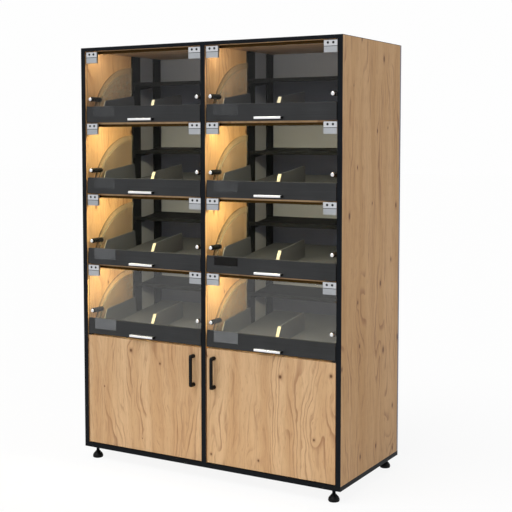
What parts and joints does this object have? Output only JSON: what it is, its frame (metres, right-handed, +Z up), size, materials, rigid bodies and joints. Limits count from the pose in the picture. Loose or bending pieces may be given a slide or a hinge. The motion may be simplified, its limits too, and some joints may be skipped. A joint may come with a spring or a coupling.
{
  "type": "bakery display unit",
  "caption": "Tall free-standing self-service bread cabinet: glazed lift-up flaps over sloping trays in twin columns, with a doored cupboard below, on levelling feet.",
  "frame": {"origin": "on the floor, at the middle of the unit's outer box", "axes": "+Z up, customers on the -Y side, +X to their right"},
  "size_m": [1.32, 0.628, 1.9],
  "materials": {
    "oak_board": "matt oak-grained board",
    "grey_board": "matt grey laminate",
    "black_edging": "satin black edging",
    "black_steel": "black powder coat",
    "black_plastic": "moulded black",
    "black_board": "matt black laminate",
    "clear_acrylic": "polished clear acrylic",
    "smoked_acrylic": "lightly smoked acrylic",
    "aluminium": "satin anodised",
    "steel": "satin steel",
    "black_rubber": "black rubber, bright caps"
  },
  "bodies": {
    "carcass": {"left_side_panel": "oak_board", "right_side_panel": "oak_board", "centre_partition": "oak_board", "top_board": "oak_board", "bottom_boards": "oak_board", "shelf_boards": "oak_board", "back_panel": "grey_board", "edge_lippings": "black_edging", "base_frame": "black_steel", "levelling_feet": "black_plastic", "bread_trays": "black_board", "upper_trays": "black_steel", "wall_guards": "clear_acrylic", "tray_uprights": "black_board", "light_bars": "aluminium", "pivot_pins": "steel"},
    "flap_1_left": {"flap_1_left_glazing": "smoked_acrylic", "flap_1_left_rail": "black_board", "flap_1_left_handle": "aluminium", "flap_1_left_hinge_clamps": "steel", "flap_1_left_buffers": "black_rubber"},
    "flap_1_right": {"flap_1_right_glazing": "smoked_acrylic", "flap_1_right_rail": "black_board", "flap_1_right_handle": "aluminium", "flap_1_right_hinge_clamps": "steel", "flap_1_right_buffers": "black_rubber"},
    "flap_2_left": {"flap_2_left_glazing": "smoked_acrylic", "flap_2_left_rail": "black_board", "flap_2_left_handle": "aluminium", "flap_2_left_hinge_clamps": "steel", "flap_2_left_buffers": "black_rubber"},
    "flap_2_right": {"flap_2_right_glazing": "smoked_acrylic", "flap_2_right_rail": "black_board", "flap_2_right_handle": "aluminium", "flap_2_right_hinge_clamps": "steel", "flap_2_right_buffers": "black_rubber"},
    "flap_3_left": {"flap_3_left_glazing": "smoked_acrylic", "flap_3_left_rail": "black_board", "flap_3_left_handle": "aluminium", "flap_3_left_hinge_clamps": "steel", "flap_3_left_buffers": "black_rubber"},
    "flap_3_right": {"flap_3_right_glazing": "smoked_acrylic", "flap_3_right_rail": "black_board", "flap_3_right_handle": "aluminium", "flap_3_right_hinge_clamps": "steel", "flap_3_right_buffers": "black_rubber"},
    "flap_4_left": {"flap_4_left_glazing": "smoked_acrylic", "flap_4_left_rail": "black_board", "flap_4_left_handle": "aluminium", "flap_4_left_hinge_clamps": "steel", "flap_4_left_buffers": "black_rubber"},
    "flap_4_right": {"flap_4_right_glazing": "smoked_acrylic", "flap_4_right_rail": "black_board", "flap_4_right_handle": "aluminium", "flap_4_right_hinge_clamps": "steel", "flap_4_right_buffers": "black_rubber"},
    "door_left": {"door_left_panel": "oak_board", "door_left_handle": "black_steel"},
    "door_right": {"door_right_panel": "oak_board", "door_right_handle": "black_steel"}
  },
  "joints": [
    {"name": "flap_1_left_hinge", "type": "hinge", "parent": "carcass", "child": "flap_1_left", "pos_m": [-0.3245, -0.2755, 1.87486], "axis": [-1, 0, 0], "range_deg": [0, 90]},
    {"name": "flap_1_right_hinge", "type": "hinge", "parent": "carcass", "child": "flap_1_right", "pos_m": [0.3245, -0.2755, 1.87486], "axis": [-1, 0, 0], "range_deg": [0, 90]},
    {"name": "flap_2_left_hinge", "type": "hinge", "parent": "carcass", "child": "flap_2_left", "pos_m": [-0.3245, -0.2755, 1.55086], "axis": [-1, 0, 0], "range_deg": [0, 90]},
    {"name": "flap_2_right_hinge", "type": "hinge", "parent": "carcass", "child": "flap_2_right", "pos_m": [0.3245, -0.2755, 1.55086], "axis": [-1, 0, 0], "range_deg": [0, 90]},
    {"name": "flap_3_left_hinge", "type": "hinge", "parent": "carcass", "child": "flap_3_left", "pos_m": [-0.3245, -0.2755, 1.22686], "axis": [-1, 0, 0], "range_deg": [0, 90]},
    {"name": "flap_3_right_hinge", "type": "hinge", "parent": "carcass", "child": "flap_3_right", "pos_m": [0.3245, -0.2755, 1.22686], "axis": [-1, 0, 0], "range_deg": [0, 90]},
    {"name": "flap_4_left_hinge", "type": "hinge", "parent": "carcass", "child": "flap_4_left", "pos_m": [-0.3245, -0.2755, 0.90286], "axis": [-1, 0, 0], "range_deg": [0, 90]},
    {"name": "flap_4_right_hinge", "type": "hinge", "parent": "carcass", "child": "flap_4_right", "pos_m": [0.3245, -0.2755, 0.90286], "axis": [-1, 0, 0], "range_deg": [0, 90]},
    {"name": "door_left_hinge", "type": "hinge", "parent": "carcass", "child": "door_left", "pos_m": [-0.624, -0.274, 0.33043], "axis": [0, 0, -1], "range_deg": [0, 105]},
    {"name": "door_right_hinge", "type": "hinge", "parent": "carcass", "child": "door_right", "pos_m": [0.624, -0.274, 0.33043], "axis": [0, 0, 1], "range_deg": [0, 105]}
  ]
}
